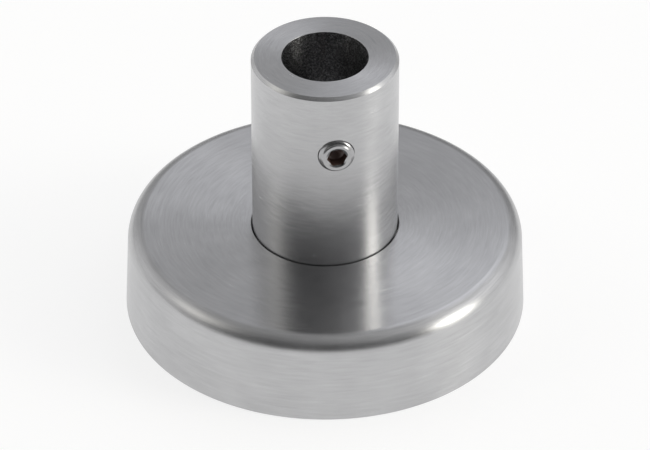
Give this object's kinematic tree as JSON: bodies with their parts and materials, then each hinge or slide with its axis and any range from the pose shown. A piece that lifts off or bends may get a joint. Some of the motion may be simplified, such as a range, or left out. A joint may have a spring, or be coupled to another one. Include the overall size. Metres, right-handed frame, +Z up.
{
  "type": "round base flange with clamped rod socket and cover",
  "caption": "Base flange that clamps a round rod upright: a post with a blind bore and set screw on a countersunk base plate under a slip-on cover.",
  "frame": {"origin": "centre of the underside that meets the floor, on the axis of the post", "axes": "+Z up the post and out of the rod bore; the set screw faces -Y; +X completes the frame"},
  "size_m": [0.057, 0.057, 0.0416],
  "materials": {
    "post_steel": "turned stainless steel, fine marks round the post",
    "cover_steel": "drawn stainless sheet, brushed in circles on top and round the skirt",
    "plate_steel": "turned stainless steel",
    "screw_steel": "bright stainless screws",
    "ring_rubber": "smooth black nitrile rubber"
  },
  "bodies": {
    "root": {"post": "post_steel", "set_screw": "screw_steel", "cover": "cover_steel", "base_plate": "plate_steel", "grip_ring": "ring_rubber", "foot_screw": "screw_steel"}
  },
  "joints": []
}
